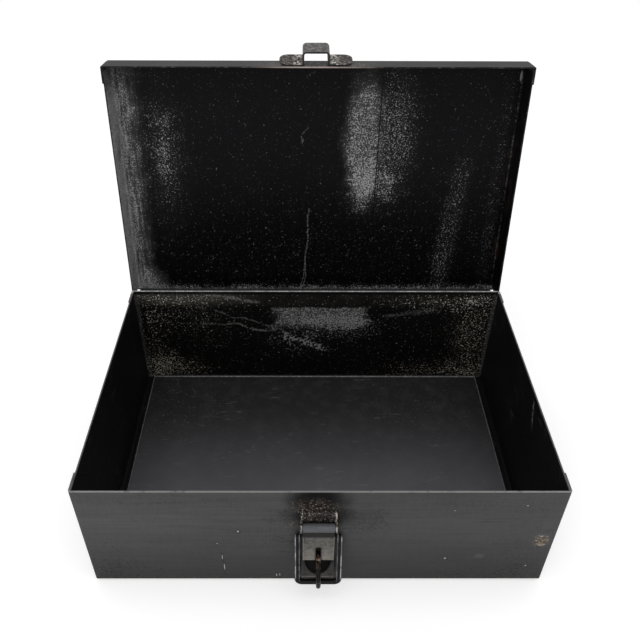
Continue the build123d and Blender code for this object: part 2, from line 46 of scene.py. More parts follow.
joints = {joint["name"]: joint for joint in frame["joints"]}
FRONT_Y = box_mm("base_shell")[0][1]
BACK_Y = box_mm("base_shell")[1][1]
RIM_Z = box_mm("base_shell")[1][2]
FLANGE_X = box_mm("side_panel_right")[0][0]
SIDE_X = box_mm("side_panel_right")[1][0]
HINGE_Y, HINGE_Z = [place / MM for place in joints["lid_hinge"]["pos_m"][1:]]
LID_LEAN = math.radians(joints["lid_hinge"]["range_deg"][1] - 90.0)
LATCH_X = middle_x("latch_plate")
CATCH_X = middle_x("catch_strap")

# The lid as it stands open, measured from the hinge: out towards the panel, and up along it.
LID_EDGE_OUT = -1.5
LID_CEILING_OUT = 17.6
LID_FOOT_UP = 4.1
LID_TOP_UP = 194.8
LID_END_X = 153.2
TOWARDS_LID_EDGE = (0.0, -math.cos(LID_LEAN), math.sin(LID_LEAN))
TOWARDS_FRONT = (0.0, -1.0, 0.0)


# ---- Colours ----
def grey(level):
    return (level, level, level)


DUST_GREY = grey(0.24)
RUST_DARK = (0.050, 0.030, 0.020)
EDGE_STEEL = (0.30, 0.295, 0.29)
BARE_STEEL = (0.50, 0.46, 0.42)

# How strongly dust density opens the grain, and the grain levels between which a speck appears.
DUST_GAIN = 0.235
SPECK_FROM, SPECK_TO = 0.665, 0.755
PIT_SPACING = 3.2

# Specular level of each finish.
BOX_SPECULAR = 0.12
LID_SPECULAR = 0.045
PLAIN_SPECULAR = 0.5
IRON_SPECULAR = 0.2
CATCH_SPECULAR = 0.3
GLOSS_SPECULAR = 0.06

# Depth of the bump of each kind of surface.
PAINT_BUMP = 0.12
IRON_BUMP = 0.10
CATCH_BUMP = 0.14
GLOSS_BUMP = 0.08


# ---- Shader maths ----
class Value:
    """A socket that takes part in Python arithmetic."""

    def __init__(self, network, socket):
        self.network = network
        self.socket = socket

    def math(self, operation, *values, clamp=False):
        return self.network.node("ShaderNodeMath", {"operation": operation, "use_clamp": clamp},
                                 dict(enumerate(values)))

    def __add__(self, other):
        return self.math("ADD", self, other)

    def __radd__(self, other):
        return self.math("ADD", other, self)

    def __sub__(self, other):
        return self.math("SUBTRACT", self, other)

    def __rsub__(self, other):
        return self.math("SUBTRACT", other, self)

    def __mul__(self, other):
        return self.math("MULTIPLY", self, other)

    def __rmul__(self, other):
        return self.math("MULTIPLY", other, self)

    def __truediv__(self, other):
        return self.math("DIVIDE", self, other)

    def __rtruediv__(self, other):
        return self.math("DIVIDE", other, self)

    def __pow__(self, other):
        return self.math("POWER", self, other)

    def __rpow__(self, other):
        return self.math("POWER", other, self)

    def __abs__(self):
        return self.math("ABSOLUTE", self)

    def clamp(self):
        return self.math("MULTIPLY", self, 1.0, clamp=True)

    def either(self, other):
        return self.math("MAXIMUM", self, other)


class Network:
    """A node tree being filled."""

    def __init__(self, tree):
        self.tree = tree
        self.tree.nodes.clear()

    def node(self, kind, settings, sockets, out=0):
        """Add a node, with its settings first, and return one of its outputs if it has any."""
        made = self.tree.nodes.new(kind)
        for key, setting in settings.items():
            setattr(made, key, setting)
        for key, value in sockets.items():
            socket = made.inputs[key]
            if isinstance(value, Value):
                self.tree.links.new(value.socket, socket)
            else:
                socket.default_value = value
        return Value(self, made.outputs[out]) if made.outputs else None

    def seen(self):
        """1 for what the camera meets directly, in a mirror or through glass."""
        return (self.node("ShaderNodeLightPath", {}, {}, "Is Camera Ray")
                + self.node("ShaderNodeLightPath", {}, {}, "Is Glossy Ray")
                + self.node("ShaderNodeLightPath", {}, {}, "Is Transmission Ray")).clamp()


class Finish(Network):
    """A material under construction, with its pattern space in millimetres."""

    def __init__(self, name):
        self.material = bpy.data.materials.new(name)
        self.material.use_nodes = True
        super().__init__(self.material.node_tree)
        place = self.node("ShaderNodeTexCoord", {}, {}, "Object")
        self.place = self.node("ShaderNodeVectorMath", {"operation": "SCALE"}, {0: place, "Scale": 1 / MM})
        self.x, self.y, self.z = [
            self.node("ShaderNodeSeparateXYZ", {}, {0: self.place}, axis) for axis in range(3)]

    def facing(self, direction, low, high):
        """1 where the surface looks along a direction of the object, by the cosine between them."""
        normal = self.node("ShaderNodeTexCoord", {}, {}, "Normal")
        cosine = self.node("ShaderNodeVectorMath", {"operation": "DOT_PRODUCT"},
                           {0: normal, 1: direction}, "Value")
        return self.rise(cosine, low, high)

    def noise(self, size, detail=3.0, rough=0.55, bend=0.0, stretch=None):
        """Soft noise whose features are about size millimetres, longer along a stretched axis."""
        where = self.place
        if stretch:
            inverse = tuple(1 / length for length in stretch)
            where = self.node("ShaderNodeVectorMath", {"operation": "MULTIPLY"}, {0: where, 1: inverse})
        return self.node("ShaderNodeTexNoise", {}, {
            "Vector": where, "Scale": 1 / size, "Detail": detail, "Roughness": rough, "Distortion": bend})

    def rise(self, value, low, high, start=0.0, end=1.0):
        """Smooth step from start at low to end at high."""
        return self.node("ShaderNodeMapRange", {"interpolation_type": "SMOOTHSTEP"}, {
            0: value, 1: low, 2: high, 3: start, 4: end})

    def fall(self, value, low, high):
        """1 below low, easing to 0 at high."""
        return self.rise(value, low, high, 1.0, 0.0)

    def within(self, value, low, high, soft):
        return self.rise(value, low - soft, low + soft) * self.fall(value, high - soft, high + soft)

    def dusting(self, grain, density):
        """Grains of dust: they grow sparser, not fainter, where the density drops."""
        return self.rise(grain + density * DUST_GAIN, SPECK_FROM, SPECK_TO)

    def blot(self, u, v, centre, radius, soft, wobble=None, amount=0.0):
        """Soft ellipse round a centre, its outline broken by a noise."""
        du = (u - centre[0]) / radius[0]
        dv = (v - centre[1]) / radius[1]
        reach = (du * du + dv * dv) ** 0.5
        if wobble:
            reach = reach + (wobble - 0.5) * amount
        return self.fall(reach, 1 - soft, 1 + soft)

    def line(self, u, v, start, end, width, wander, sway):
        """Thin straight mark from start to end, both (u, v); its sway follows the wander noise."""
        run = (end[0] - start[0], end[1] - start[1])
        length = math.hypot(*run)
        along = ((u - start[0]) * run[0] + (v - start[1]) * run[1]) / length
        across = ((u - start[0]) * -run[1] + (v - start[1]) * run[0]) / length
        if sway:
            across = across + (wander - 0.5) * sway
        return self.fall(abs(across), width * 0.3, width) * self.within(along, 0.0, length, width)

    def mix(self, amount, first, second):
        def rgba(colour):
            return colour if isinstance(colour, Value) else (*colour, 1.0)
        return self.node("ShaderNodeMix", {"data_type": "RGBA", "clamp_factor": True},
                         {0: amount, 6: rgba(first), 7: rgba(second)}, 2)

    def surface(self, colour, roughness, metallic, bump, bump_mm, specular):
        """Close the material with its shader; its specular level is the same all over."""
        normal = self.node("ShaderNodeBump", {}, {
            "Height": bump, "Strength": 1.0, "Distance": bump_mm * MM})
        return self.close(self.node("ShaderNodeBsdfPrincipled", {}, {
            "Base Color": colour, "Roughness": roughness, "Metallic": metallic, "Normal": normal,
            "Specular IOR Level": specular}))

    def close(self, shader):
        self.node("ShaderNodeOutputMaterial", {}, {"Surface": shader})
        return self.material


class Paint(Finish):
    """Black paint of the box and the lid: mottle, pits, wiping marks, and marks placed on a face.

    A face is measured by x across and by up, which each painted piece sets for itself.
    """

    def __init__(self, name, haze_size):
        super().__init__(name)
        self.up = self.z
        self.mottle = self.noise(45.0, detail=4.0)
        self.fine = self.noise(1.1, detail=2.0)
        self.haze = self.noise(haze_size, detail=3.0)
        self.drift = self.haze - 0.5
        self.wipes = self.noise(2.6, detail=4.0, rough=0.6, stretch=(26.0, 1.0, 1.0))
        spread = {"Vector": self.place, "Scale": 1 / PIT_SPACING}
        holes = self.node("ShaderNodeTexVoronoi", {}, spread, "Distance")
        pits = self.fall(holes, 0.05, 0.16) * self.rise(self.noise(9.0), 0.56, 0.68)
        self.height = self.fine * 0.10 + self.noise(14.0, detail=2.0) * 0.5 - pits * 0.6

    def patch(self, centre, radius, soft, amount):
        """Soft place on the face, its outline broken by the haze."""
        return self.blot(self.x, self.up, centre, radius, soft, self.haze, amount)

    def mark(self, start, end, width, sway=0.0, wander=None):
        """Thin mark on the face, wandering by the haze unless another noise is given."""
        return self.line(self.x, self.up, start, end, width, wander or self.haze, sway)

    def hair_scratches(self, size, stretch):
        """Sparse fine lines along one axis."""
        lines = self.noise(size, detail=2.0, rough=0.6, stretch=stretch)
        spread = self.noise(30.0, detail=2.0)
        return self.rise(lines, 0.600, 0.635) * self.rise(spread, 0.48, 0.66)


# ---- Box: base shell and side panels ----
# The inner faces each get their own copy of the black paint: the side walls and the back wall far darker, as
# painted shade, and the floor paler, as painted light.
FRONT_DARK, FRONT_PALE = (0.004, 0.004, 0.0045), (0.078, 0.078, 0.079)
SATIN_DARK, SATIN_PALE = grey(0.012), (0.085, 0.085, 0.086)
SHADED_WALL_DARK, SHADED_WALL_PALE = (0.0015, 0.0015, 0.0018), (0.006, 0.006, 0.0065)
FLOOR_DIM_BACK, FLOOR_LIT_FRONT = (0.017, 0.017, 0.0175), (0.115, 0.112, 0.122)
SHADED_BACK_DARK, SHADED_BACK_PALE = grey(0.0010), grey(0.0035)
DUST_OLIVE = (0.290, 0.280, 0.230)
DUST_BROWN = (0.330, 0.300, 0.245)
DUST_BRIGHT = (0.62, 0.60, 0.54)
RUBBED_GREY = grey(0.28)
CORNER_GREY = (0.16, 0.16, 0.155)
CRUST_TAN = (0.42, 0.34, 0.26)
CHIP_RING, CHIP_STEEL = grey(0.012), (0.42, 0.41, 0.40)
SOOT_AND_SHADE = (0.0015, 0.0012, 0.0012)
RUST_BLACK = (0.010, 0.007, 0.006)
RUST_NET = (0.075, 0.055, 0.048)
RUST_CRUMB = (0.34, 0.30, 0.28)
RUST_SPOT = (0.20, 0.135, 0.085)
RUST_DOT = (0.18, 0.155, 0.12)
RIM_SHADE_BLACK, RIM_WHITE = grey(0.002), grey(0.60)
FOLD_DARK, FOLD_RUST = (0.013, 0.009, 0.007), (0.20, 0.13, 0.08)
FLANGE_WORN_HIGHLIGHT, FOOT_WORN_HIGHLIGHT = grey(0.26), grey(0.30)


class BoxPaint(Paint):
    """One finish for the whole box: its faces tell themselves apart by place."""

    # broken paint on the front, as (x, z, half width, half height)
    RINGED_CHIPS = (
        (-52.0, 58.0, 0.7, 0.8), (-64.0, 28.5, 0.32, 2.4), (-63.3, 16.5, 0.32, 3.4),
        (-66.2, 44.5, 0.5, 0.5), (84.0, 27.0, 0.7, 0.8), (-28.4, 6.4, 0.35, 1.6))
    PLAIN_CHIPS = (
        (-26.3, 6.9, 0.35, 1.4), (139.3, 18.0, 0.6, 0.6), (128.0, 85.8, 0.6, 0.4), (83.7, 80.5, 0.4, 0.4))
    RING_SCALE = 2.6

    def __init__(self):
        super().__init__("box_paint", haze_size=11.0)
        self.broad = self.noise(30.0, detail=3.0, stretch=(3.0, 1.0, 0.7))
        self.grain = self.noise(1.9, detail=3.0, rough=0.66)
        self.net = self.noise(2.6, detail=3.0, rough=0.6, bend=0.6)
        self.salt = self.rise(self.grain, 0.47, 0.60)
        self.front = self.fall(self.y, FRONT_Y + 0.3, FRONT_Y + 0.6)
        self.back_wall = self.rise(self.y, BACK_Y - 3.5, BACK_Y - 2.5) \
            * self.fall(self.y, BACK_Y - 0.4, BACK_Y - 0.2)
        self.between_flanges = self.fall(abs(self.x), FLANGE_X, FLANGE_X + 0.3)
        self.floor = self.fall(self.z, 1.5, 2.4) * self.between_flanges
        self.outside = self.rise(abs(self.x), SIDE_X - 0.4, SIDE_X - 0.2) \
            .either(self.rise(self.y, BACK_Y - 0.3, BACK_Y - 0.1)).either(self.fall(self.z, 0.1, 0.3))

    def front_coat(self):
        """Wiped satin, slightly paler towards the rim and the left by a painted sheen."""
        combed = self.noise(1.5, detail=2.0, stretch=(1.0, 1.0, 7.0))
        # painted sheen: the satin's reflected light, brighter up towards the rim and out towards the ends
        sheen_gradient = self.rise(self.z, -10.0, 74.0, 0.22, 0.82) \
            * self.rise(abs(self.x - 30.0), 40.0, 170.0, 0.90, 1.12)
        tone = (0.30 + self.wipes * 0.62 + self.broad * 0.50
                + (combed - 0.5) * 0.22 + (self.fine - 0.5) * 0.26) * sheen_gradient
        return self.mix(tone, FRONT_DARK, FRONT_PALE)

    def outside_coat(self):
        """Ends, back and underside: the same satin without the fade."""
        tone = (self.wipes * 0.5 + self.broad * 0.6 + (self.fine - 0.5) * 0.3) * 0.9
        return self.mix(tone, SATIN_DARK, SATIN_PALE)

    def side_coat(self):
        """Side walls inside: nearly plain black, a far darker copy of the box paint as painted shade, with a
        few rubs and one streak on the right.
        """
        rub = self.hair_scratches(2.0, (1.0, 6.0, 1.0))
        streak = self.line(self.y, self.z, (-27.0, 74.0), (-20.0, 94.0), 2.4, self.haze, 4.0) \
            * self.rise(self.x, 0.0, 1.0)
        # painted shade: the walls' black set far below the front's
        colour = self.mix(self.mottle, SHADED_WALL_DARK, SHADED_WALL_PALE)
        return self.mix((rub * 0.12 + streak * self.salt * 0.7).clamp(), colour, DUST_GREY)

    def floor_coat(self):
        """Floor: a paler copy of the box paint, paler still towards the front, as painted light; with dusty
        specks and small scratches.
        """
        # painted light: the floor brightest at the front, where more light reaches, and dimmer towards the
        # back wall
        paler = self.fall(self.y, -50.0, 96.0) ** 1.7
        tone = paler * (0.72 + self.mottle * 0.5) + (self.fine - 0.5) * 0.10
        colour = self.mix(tone, FLOOR_DIM_BACK, FLOOR_LIT_FRONT)
        specks = self.rise(self.noise(1.5, detail=2.0, rough=0.7), 0.655, 0.70)
        back_left = self.blot(self.x, self.y, (-118.0, 62.0), (34.0, 34.0), 0.8, self.mottle, 0.8)
        back_right = self.blot(self.x, self.y, (96.0, 60.0), (48.0, 40.0), 0.9, self.mottle, 0.8)
        rubbed = self.rise(self.haze, 0.44, 0.66) * self.rise(self.y, -60.0, 60.0, 0.35, 1.0)
        nicks = self.hair_scratches(1.6, (6.0, 1.0, 1.0))
        dust = (specks * (0.12 + back_left * 0.8 + back_right * 0.45)
                + nicks * 0.30 + rubbed * self.grain * 0.10).clamp()
        return self.mix(dust * 0.62, colour, DUST_GREY), dust

    def back_coat(self):
        """Back wall: deep black, a darker copy of the box paint as painted shade, with rubbed, dusty and
        corroded places.
        """
        grains = self.noise(1.35, detail=2.0, rough=0.65)
        crust = self.noise(1.9, detail=2.0, rough=0.6, bend=0.3)
        low_left = self.patch((-126.0, 10.0), (32.0, 16.0), 0.7, 1.1)
        low_right = self.patch((108.0, 7.0), (42.0, 12.0), 0.9, 1.1)
        right_side = self.patch((136.0, 56.0), (19.0, 56.0), 0.8, 1.1)
        left_foot = self.patch((-140.0, 40.0), (14.0, 46.0), 0.9, 1.0)
        top_left = self.patch((-116.0, 93.0), (50.0, 7.0), 0.7, 0.9)
        top_right = self.patch((108.0, 87.0), (46.0, 9.0), 0.9, 1.0)
        under_left = self.patch((-112.0, 72.0), (42.0, 24.0), 0.9, 1.0)
        top_haze = self.rise(self.z, 80.0, 88.0) * self.rise(self.haze, 0.3, 0.7, 0.35, 1.0)

        rubbed = self.rubbed_grey(grains, crust)
        olive_density = (top_left * 0.26 + top_right * 0.38 + top_haze * 0.14 + under_left * 0.32).clamp()
        olive = (top_left * 0.10 + top_haze * 0.03 + self.dusting(grains, olive_density) * 0.85).clamp()
        brown_density = (low_left * 0.47 + right_side * 0.45 + low_right * 0.40 + left_foot * 0.38).clamp()
        brown = self.dusting(grains, brown_density) * 0.80
        sparkle = self.rise(grains + (olive_density + brown_density).clamp() * DUST_GAIN, 0.735, 0.80)
        crusted = self.dusting(crust, (low_left * 0.30 + right_side * 0.20 + low_right * 0.20).clamp())
        corner = self.rise(abs(self.x), 147.4, 149.4) * (0.25 + self.dusting(grains, 0.75) * 0.6)

        # painted shade: the back wall's black set darker still than the side walls
        colour = self.mix(self.mottle * 0.6, SHADED_BACK_DARK, SHADED_BACK_PALE)
        colour = self.mix(olive * 0.95, colour, DUST_OLIVE)
        colour = self.mix(rubbed * 0.70, colour, RUBBED_GREY)
        colour = self.mix(brown, colour, DUST_BROWN)
        colour = self.mix(sparkle * 0.8, colour, DUST_BRIGHT)
        colour = self.mix(corner * 0.55, colour, CORNER_GREY)
        colour = self.mix(crusted * brown_density * 1.4, colour, CRUST_TAN)
        return colour, rubbed + olive + brown

    def rubbed_grey(self, grains, crust):
        """Middle of the back wall: a grey rub with straight edges, clumps under it, and wavy marks."""
        main = self.within(self.x + self.drift * 26.0, -35.0, 43.0, 5.0) \
            * self.rise(self.z + self.drift * 22.0, 56.0, 68.0) \
            * self.fall(self.z + self.drift * 5.0, 81.2, 83.4)
        under = self.patch((22.0, 60.0), (32.0, 13.0), 0.6, 1.1)
        clumps = self.patch((-16.0, 50.0), (26.0, 20.0), 0.7, 1.4)
        trail = self.mark((-30.0, 52.0), (14.0, 32.0), 5.0, 8.0)
        wavy = self.mark((-98.0, 66.0), (-30.0, 57.0), 1.5, 15.0, self.noise(24.0, detail=1.0))
        wavy_low = self.mark((-84.0, 78.0), (-36.0, 61.0), 1.2, 12.0, self.noise(17.0, detail=1.0))
        arc = self.mark((-96.0, 98.0), (-48.0, 88.0), 2.6, 5.0)
        smear = self.mark((58.0, 73.0), (104.0, 79.0), 3.0, 6.0)
        scuffs = (wavy + wavy_low * 0.8 + arc * 1.2 + smear * 0.6) * 0.46
        return (self.dusting(grains, (main * 0.78 + under * 0.46).clamp()) * 0.98 + main * 0.14
                + self.dusting(crust, (clumps * 0.42 + trail * 0.5).clamp()) * (clumps + trail).clamp()
                + scuffs * self.rise(self.grain, 0.42, 0.56)).clamp()

    def chips(self, places):
        """Small broken chips on the front."""
        grain = self.noise(0.9, detail=3.0)
        total = None
        for x, z, half_width, half_height in places:
            one = self.blot(self.x, self.z, (x, z), (half_width, half_height), 0.3, grain, 1.6)
            total = one if total is None else total.either(one)
        return total * self.front

    def front_marks(self, colour):
        """Chips with dark rings, grazes, a smudge and the ragged spot near the right end."""
        chip = self.chips(self.RINGED_CHIPS + self.PLAIN_CHIPS)
        ring = self.chips([(x, z, self.RING_SCALE * half_width, self.RING_SCALE * half_height)
                           for x, z, half_width, half_height in self.RINGED_CHIPS])
        spot = self.patch((144.0, 48.0), (4.5, 5.5), 0.5, 0.8) * self.front
        smudge = self.blot(self.x, self.z, (106.3, 30.0), (3.0, 2.2), 0.8) * self.front
        grazes = self.blot(self.x, self.z, (116.0, 69.0), (26.0, 9.0), 0.7) \
            * self.rise(self.wipes, 0.56, 0.66) * self.front
        colour = self.mix((ring * 0.6 + grazes * 0.45).clamp(), colour, CHIP_RING)
        colour = self.mix(smudge * 0.25 * self.grain, colour, DUST_GREY)
        colour = self.mix(chip * 0.95, colour, CHIP_STEEL)
        colour = self.mix(spot * self.rise(self.grain, 0.46, 0.54), colour, RUST_SPOT)
        return self.mix(spot * self.rise(self.net, 0.58, 0.62), colour, BARE_STEEL), chip

    def latch_soot_and_shade(self, colour):
        """Black soot and crumbling rust round the latch, painted shade on the front in the recess behind its
        plate, and rust dots to its left.
        """
        above = self.patch((-1.0, 92.0), (17.0, 12.0), 0.55, 0.5) * self.front
        below = self.patch((-1.0, 76.0), (18.0, 12.0), 0.5, 0.8) * self.front
        # painted shade: the front darkened where it lies in the recess behind the latch plate
        behind = self.blot(self.x, self.z, (LATCH_X, 22.0), (12.0, 20.0), 0.2) * self.front
        rusty = self.patch((-3.0, 84.0), (13.0, 8.0), 0.6, 1.0) * self.front
        crumbs = self.rise(self.noise(1.25, detail=2.0, rough=0.6), 0.60, 0.66)
        dots = self.blot(self.x, self.z, (-20.8, 66.0), (6.0, 5.0), 0.8) \
            * self.rise(self.net, 0.58, 0.63) * self.front
        # soot above and below the latch, and painted shade behind its plate, all go to one near-black
        shade = (above * 0.96).either(below * 0.8).either(behind * 0.98)
        colour = self.mix(shade, colour, SOOT_AND_SHADE)
        colour = self.mix(rusty * 0.8, colour, RUST_BLACK)
        colour = self.mix(rusty * self.rise(self.net, 0.50, 0.58) * 0.55, colour, RUST_NET)
        colour = self.mix(rusty * crumbs * 0.8, colour, RUST_CRUMB)
        return self.mix(dots * 0.5, colour, RUST_DOT), shade

    def edge_wear_and_light(self, colour):
        """Rim, painted shade just under the back rim, floor flange and foot of the back wall with painted
        highlights speckled as wear, and the bottom fold.
        """
        rim = self.rise(self.z, RIM_Z - 0.5, RIM_Z - 0.2) \
            * self.rise(self.noise(6.0, detail=3.0), 0.26, 0.46, 0.45, 1.0)
        front_rim = self.fall(self.y, FRONT_Y + 1.0, FRONT_Y + 2.0) * rim
        back_rim = self.rise(self.y, BACK_Y - 4.0, BACK_Y - 3.0) * rim
        # painted shade: a dark band on the back wall just under its rim
        rim_shade_band = self.within(self.z, RIM_Z - 3.4, RIM_Z - 0.5, 0.4) * self.back_wall
        low_edge = self.fall(self.z, 2.0, 4.0) \
            * self.front.either(self.fall(self.y, FRONT_Y + 1.0, FRONT_Y + 3.0))
        # painted highlights: pale lines along the floor's bends at the side flanges and at the foot of the
        # back wall, speckled as wear
        flange_worn_highlight = self.within(abs(self.x), FLANGE_X - 0.1, FLANGE_X + 0.35, 0.12) \
            * self.fall(self.z, 2.2, 2.6) * (1.0 - self.front)
        wall_foot_worn_highlight = self.within(self.y, BACK_Y - 2.5, BACK_Y - 1.6, 0.4) \
            * self.fall(self.z, 1.6, 2.2) * self.between_flanges
        colour = self.mix(rim * 0.30 + front_rim * 0.62, colour, EDGE_STEEL)
        colour = self.mix(rim_shade_band * 0.9, colour, RIM_SHADE_BLACK)
        colour = self.mix(back_rim * (0.45 + self.salt * 0.50), colour, RIM_WHITE)
        colour = self.mix(low_edge * 0.88, colour, FOLD_DARK)
        colour = self.mix(low_edge * self.rise(self.grain, 0.56, 0.62) * 0.5, colour, FOLD_RUST)
        colour = self.mix(flange_worn_highlight * (0.35 + self.salt * 0.5), colour, FLANGE_WORN_HIGHLIGHT)
        colour = self.mix(wall_foot_worn_highlight * (0.4 + self.salt * 0.45), colour, FOOT_WORN_HIGHLIGHT)
        return colour, front_rim

    def build(self):
        floor_colour, floor_dust = self.floor_coat()
        back_colour, back_dust = self.back_coat()
        colour = self.mix(self.back_wall, self.side_coat(), back_colour)
        colour = self.mix(self.floor, colour, floor_colour)
        colour = self.mix(self.outside, colour, self.outside_coat())
        colour = self.mix(self.front, colour, self.front_coat())
        colour, chip = self.front_marks(colour)
        colour, shade = self.latch_soot_and_shade(colour)
        colour, front_rim = self.edge_wear_and_light(colour)
        dusty = (back_dust + floor_dust).clamp()
        rough = (0.36 + self.mottle * 0.12 + self.wipes * 0.10 + dusty * 0.35
                 + front_rim * 0.10 + chip * 0.3 + shade * 0.5)
        dents = self.noise(60.0, detail=1.0) * 2.2
        bumps = (self.height + (dents + self.wipes * 0.4) * self.front
                 - chip * 1.5 + dusty * self.grain * 0.6)
        return self.surface(colour, rough, (front_rim * 0.6).clamp(), bumps, PAINT_BUMP, BOX_SPECULAR)


# ---- Lid tray ----
# the lid's inside black: a shaded copy for low down and a lit copy higher up, painted shade and light
LID_SHADED_LOW, LID_LIT_HIGH = (0.0004, 0.0004, 0.0005), (0.0050, 0.0050, 0.0057)
LID_DUST, DUST_WHITE = (0.235, 0.235, 0.237), grey(0.50)
LID_SATIN_DARK, LID_SATIN_PALE = grey(0.005), (0.056, 0.056, 0.057)
EDGE_PAINT, EDGE_WORN, EDGE_PINK = grey(0.016), grey(0.14), (0.40, 0.33, 0.30)
HALO_PALE, HALO_DARK = (0.34, 0.29, 0.26), (0.02, 0.016, 0.014)


class LidPaint(Paint):
    """One finish for the lid: inside, outside and cut edges, in the open lid's own directions."""

    def __init__(self):
        super().__init__("lid_paint", haze_size=13.0)
        out = self.y - HINGE_Y
        over = self.z - HINGE_Z
        self.out = out * math.cos(LID_LEAN) - over * math.sin(LID_LEAN)
        self.up = out * math.sin(LID_LEAN) + over * math.cos(LID_LEAN)
        self.grain = self.noise(1.7, detail=3.0, rough=0.68)
        self.upright = self.noise(2.0, detail=3.0, stretch=(1.0, 9.0, 9.0))
        self.salt = self.rise(self.grain * 0.70 + self.upright * 0.30, 0.46, 0.60)
        self.inside = self.fall(self.out, LID_CEILING_OUT + 0.3, LID_CEILING_OUT + 0.6) \
            * self.fall(abs(self.x), LID_END_X - 0.1, LID_END_X + 0.1) \
            * self.fall(self.up, LID_TOP_UP + 0.2, LID_TOP_UP + 0.4) \
            * self.rise(self.up, LID_FOOT_UP - 0.2, LID_FOOT_UP + 0.2)

    def inside_marks(self):
        """Scratches, dabs and worn folds, as pale as the dust, and a dark line that cuts through it."""
        wander = self.noise(15.0, detail=3.0, rough=0.6)
        scratch = self.mark((-6.0, 80.0), (-9.5, 6.0), 0.7, 7.0, wander)
        fork = self.mark((-9.0, 30.0), (-12.5, 4.0), 0.6, 4.0, wander)
        curl = self.mark((-6.0, 149.0), (-12.5, 142.0), 0.8).either(
            self.mark((-12.5, 142.0), (-11.0, 134.0), 0.8))
        ledge = self.fall(self.up, 4.9, 5.6)
        corner_dab = self.blot(self.x, self.up, (150.8, 188.0), (0.8, 3.6), 0.4)
        top_dab = self.mark((-9.0, 187.0), (-1.0, 191.0), 1.6)
        right_fold = self.within(self.x, 151.4, 152.4, 0.4) * self.rise(self.haze, 0.30, 0.60, 0.3, 1.0)
        broken = self.rise(self.noise(1.3, detail=3.0, rough=0.6), 0.40, 0.56)
        pale = ((scratch + fork) * 0.50 * broken + curl * 0.35 * self.salt
                + ledge * (0.10 + self.salt * 0.26) + corner_dab * 1.2
                + top_dab * 0.22 * self.salt + right_fold * 0.40 * self.salt)
        dark_line = self.mark((48.6, 192.0), (46.2, 62.0), 0.75, 0.8, self.grain)
        return pale, 1.0 - dark_line * 0.85

    def inside_coat(self):
        """Deep black under dust, paler towards the top by painted light: a band and a patch on the left, a
        big rub, a streak and stray flecks.
        """
        grains = self.noise(1.05, detail=2.0, rough=0.7)
        level = self.noise(1.8, detail=2.0, stretch=(12.0, 1.0, 1.0))
        left_edge = self.x + self.drift * 12.0 + (self.up - 100.0) * -0.02
        left_band = self.fall(left_edge, -155.0, -131.0) * self.rise(self.up, 172.0, 192.0, 1.0, 0.55)
        left_wall = self.fall(self.x, -151.6, -151.0) * self.rise(self.up, 150.0, 186.0, 1.0, 0.35)
        left_patch = self.patch((-121.0, 124.0), (15.0, 46.0), 0.9, 1.5)
        left_core = self.patch((-119.0, 132.0), (6.0, 26.0), 0.9, 1.5)
        left_foot = self.patch((-143.0, 9.0), (12.0, 11.0), 0.8, 1.0)
        big_left = self.patch((37.0, 138.0), (14.5, 50.0), 0.42, 0.8)
        big_right = self.patch((58.0, 140.0), (19.0, 46.0), 0.65, 1.0)
        big_foot = self.patch((42.0, 96.0), (18.0, 18.0), 0.7, 1.2)
        streak = self.mark((116.0, 122.0), (104.5, 6.0), 13.0, 12.0)
        pepper = self.patch((0.0, 40.0), (150.0, 46.0), 0.8, 0.8)
        right_rub = self.patch((144.0, 106.0), (5.0, 92.0), 0.8, 1.0)
        bottom = self.fall(self.up, 4.6, 12.0) * self.rise(self.haze, 0.34, 0.56, 0.30, 1.0)
        marks, spared = self.inside_marks()

        density = (left_band * (0.98 + (self.upright - 0.5) * 1.8)
                   + left_patch * 0.42 + left_core * 0.30 + left_foot * 0.45
                   + (big_left * 0.77).either(big_right * 0.60) + big_foot * 0.42
                   + streak * 0.36 + pepper * 0.05 + right_rub * 0.26 + bottom * 0.80
                   + (level - 0.5) * big_left * 0.9 + (self.upright - 0.5) * 0.30).clamp()
        stray = (pepper * 0.6 + left_patch + streak * 0.6 + right_rub) * 0.03
        fleck = self.rise(self.noise(1.7, detail=2.0, rough=0.72) + stray, 0.682, 0.735)
        pale = (self.dusting(grains, density) * (0.42 + density * 0.50) + density * 0.05 + fleck * 0.62
                + left_band * (0.44 + (self.upright - 0.5) * 1.3) + left_wall * (0.40 + self.salt * 0.44)
                + big_left * 0.15 + left_foot * 0.20 + marks)
        pale = (pale * spared).clamp() * self.inside
        cores = self.rise(grains + density * DUST_GAIN, 0.725, 0.80) * spared
        white = ((cores * 0.5 + left_wall * self.salt * 0.45) * self.inside).clamp()
        # painted light and shade: the lid's black darker low down and paler towards the top
        upper = self.rise(self.up + self.drift * 40.0, 48.0, 128.0)
        rust = self.fall(abs(self.x - 151.5), 1.0, 3.5) * self.inside \
            * self.rise(self.haze + right_rub * 0.25, 0.56, 0.70)
        colour = self.mix(upper * (0.6 + self.mottle * 0.6), LID_SHADED_LOW, LID_LIT_HIGH)
        colour = self.mix(pale * 0.84, colour, LID_DUST)
        colour = self.mix(white, colour, DUST_WHITE)
        return self.mix(rust * 0.28, colour, RUST_DARK), pale

    def outside_coat(self):
        """Satin, like the front of the box."""
        tone = 0.14 + self.wipes * 0.5 + self.noise(30.0, detail=3.0) * 0.5 + (self.fine - 0.5) * 0.3
        return self.mix(tone, LID_SATIN_DARK, LID_SATIN_PALE)

